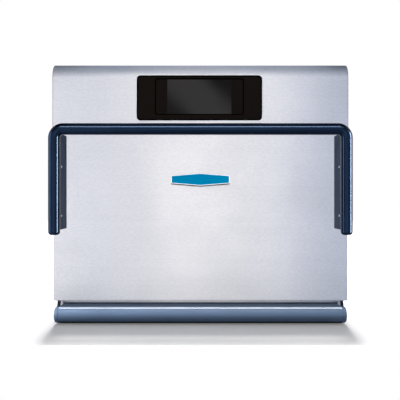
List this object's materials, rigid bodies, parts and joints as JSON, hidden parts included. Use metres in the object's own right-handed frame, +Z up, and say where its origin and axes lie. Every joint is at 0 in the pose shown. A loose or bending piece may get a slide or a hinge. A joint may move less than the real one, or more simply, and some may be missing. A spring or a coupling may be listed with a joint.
{
  "type": "speed oven",
  "caption": "Countertop speed oven: steel case with a rolled top edge, display in the fascia, drop-down insulated door with tubular handle, round nose, rack and hot-air system.",
  "frame": {"origin": "on the counter, in the middle of the width and of the whole depth, handle and gland included", "axes": "+Z up, the door and display face -Y, +X is the right side seen from the front"},
  "size_m": [0.62, 0.7886, 0.5525],
  "materials": {
    "case_steel": "satin",
    "door_steel": "satin",
    "liner_steel": "satin",
    "galvanised_steel": "satin",
    "navy_paint": "gloss",
    "navy_bracket": "satin",
    "navy_handle": "gloss",
    "black_plastic": "gloss",
    "dark_plastic": "matte",
    "display_glass": "gloss",
    "circuit_board": "satin",
    "mineral_wool": "matte",
    "foot_rubber": "matte",
    "gasket_silicone": "matte",
    "rack_chrome": "polished",
    "heater_sheath": "matte",
    "motor_paint": "satin",
    "core_steel": "matte",
    "hinge_steel": "satin",
    "badge_enamel": "gloss",
    "catalyst_metal": "matte",
    "capacitor_can": "satin"
  },
  "bodies": {
    "case": {"base_pan": "galvanised_steel", "foot_front_left": "foot_rubber", "foot_front_right": "foot_rubber", "foot_rear_left": "foot_rubber", "foot_rear_right": "foot_rubber", "left_side_panel": "case_steel", "right_side_panel": "case_steel", "top_cover": "case_steel", "rear_panel": "case_steel", "control_fascia": "case_steel", "front_frame": "case_steel", "base_nose": "navy_paint", "display_bezel": "black_plastic", "display_glass": "display_glass", "display_module": "dark_plastic", "control_board": "circuit_board", "cavity_liner": "liner_steel", "cavity_insulation": "mineral_wool", "upper_jet_plate": "liner_steel", "lower_jet_plate": "liner_steel", "rack_rail_left": "liner_steel", "rack_rail_right": "liner_steel", "catalyst": "catalyst_metal", "temperature_probe": "liner_steel", "convection_heater": "heater_sheath", "blower_housing": "galvanised_steel", "blower_motor": "motor_paint", "vent_tube": "liner_steel", "magnetron_left": "galvanised_steel", "magnetron_right": "galvanised_steel", "waveguide_left": "galvanised_steel", "waveguide_right": "galvanised_steel", "transformer_left": "core_steel", "transformer_right": "core_steel", "capacitor_left": "capacitor_can", "capacitor_right": "capacitor_can", "filter_board": "circuit_board", "cooling_fan_frame_left": "dark_plastic", "cooling_fan_frame_right": "dark_plastic", "cord_gland": "dark_plastic", "hinge_pin_left": "hinge_steel", "hinge_pin_right": "hinge_steel", "interlock_switch_left": "dark_plastic", "interlock_switch_right": "dark_plastic"},
    "door": {"door_outer_skin": "door_steel", "door_inner_panel": "liner_steel", "door_insulation": "mineral_wool", "door_gasket": "gasket_silicone", "door_handle": "navy_handle", "handle_bracket_left": "navy_bracket", "handle_bracket_right": "navy_bracket", "door_badge": "badge_enamel", "hinge_arm_left": "hinge_steel", "hinge_arm_right": "hinge_steel"},
    "rack": {"wire_rack": "rack_chrome"},
    "blower": {"blower_wheel": "liner_steel"},
    "fan_left": {"cooling_fan_left": "dark_plastic"},
    "fan_right": {"cooling_fan_right": "dark_plastic"},
    "plunger_left": {"interlock_plunger_left": "dark_plastic"},
    "plunger_right": {"interlock_plunger_right": "dark_plastic"}
  },
  "joints": [
    {"name": "door_hinge", "type": "hinge", "parent": "case", "child": "door", "pos_m": [0, -0.30215, 0.0213], "axis": [1, 0, 0], "range_deg": [0, 90], "stiffness_Nm_per_rad": 5, "springref_deg": -45.84},
    {"name": "rack_slide", "type": "slide", "parent": "case", "child": "rack", "axis": [0, -1, 0], "range_m": [0, 0.018]},
    {"name": "blower_spin", "type": "hinge", "parent": "case", "child": "blower", "pos_m": [0, 0.20145, 0.234], "axis": [0, 1, 0], "continuous": true},
    {"name": "cooling_fan_left_spin", "type": "hinge", "parent": "case", "child": "fan_left", "pos_m": [-0.1905, 0.34685, 0.4513], "axis": [0, 1, 0], "continuous": true},
    {"name": "interlock_left_slide", "type": "slide", "parent": "case", "child": "plunger_left", "axis": [0, -1, 0], "range_m": [0, 0.003]},
    {"name": "cooling_fan_right_spin", "type": "hinge", "parent": "case", "child": "fan_right", "pos_m": [0.1905, 0.34685, 0.4513], "axis": [0, 1, 0], "continuous": true},
    {"name": "interlock_right_slide", "type": "slide", "parent": "case", "child": "plunger_right", "axis": [0, -1, 0], "range_m": [0, 0.003]}
  ],
  "couplings": [
    {"joint": "interlock_left_slide", "follows": "door_hinge", "m_per_rad": 0.001909},
    {"joint": "interlock_right_slide", "follows": "door_hinge", "m_per_rad": 0.001909}
  ]
}
